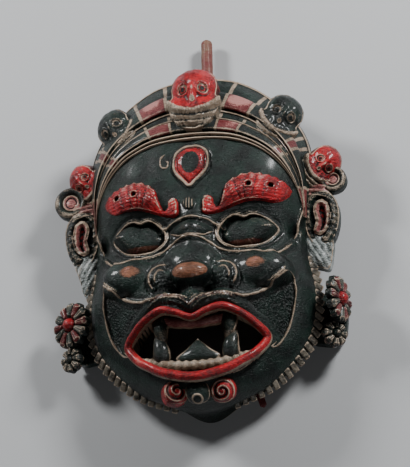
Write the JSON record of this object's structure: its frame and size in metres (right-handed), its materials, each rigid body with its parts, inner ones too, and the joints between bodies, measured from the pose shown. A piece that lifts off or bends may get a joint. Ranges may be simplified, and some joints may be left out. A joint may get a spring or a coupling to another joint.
{
  "type": "tibetan cham mask",
  "caption": "Carved wooden dance mask of a wrathful protector with a skull crown, open fanged mouth, long ears and flower earrings, hollow behind.",
  "frame": {"origin": "middle of the bounding box in X and Y, on the plane of the back rim that the mask lies on", "axes": "+Z out of the face, +Y towards the crown, +X to the viewer's right when facing the mask"},
  "size_m": [0.3298, 0.4514, 0.127],
  "materials": {
    "lacquered_wood": "dark green-black paint under old varnish, red lips, brows and bands, worn pale on the edges",
    "painted_wood": "red and grey petals on a dark carrier, worn varnish",
    "bare_wood": "handled bare wood with traces of red"
  },
  "bodies": {
    "root": {"mask_shell": "lacquered_wood", "earring_left": "painted_wood", "earring_right": "painted_wood", "top_peg": "bare_wood", "jaw_dowel": "bare_wood"}
  },
  "joints": []
}
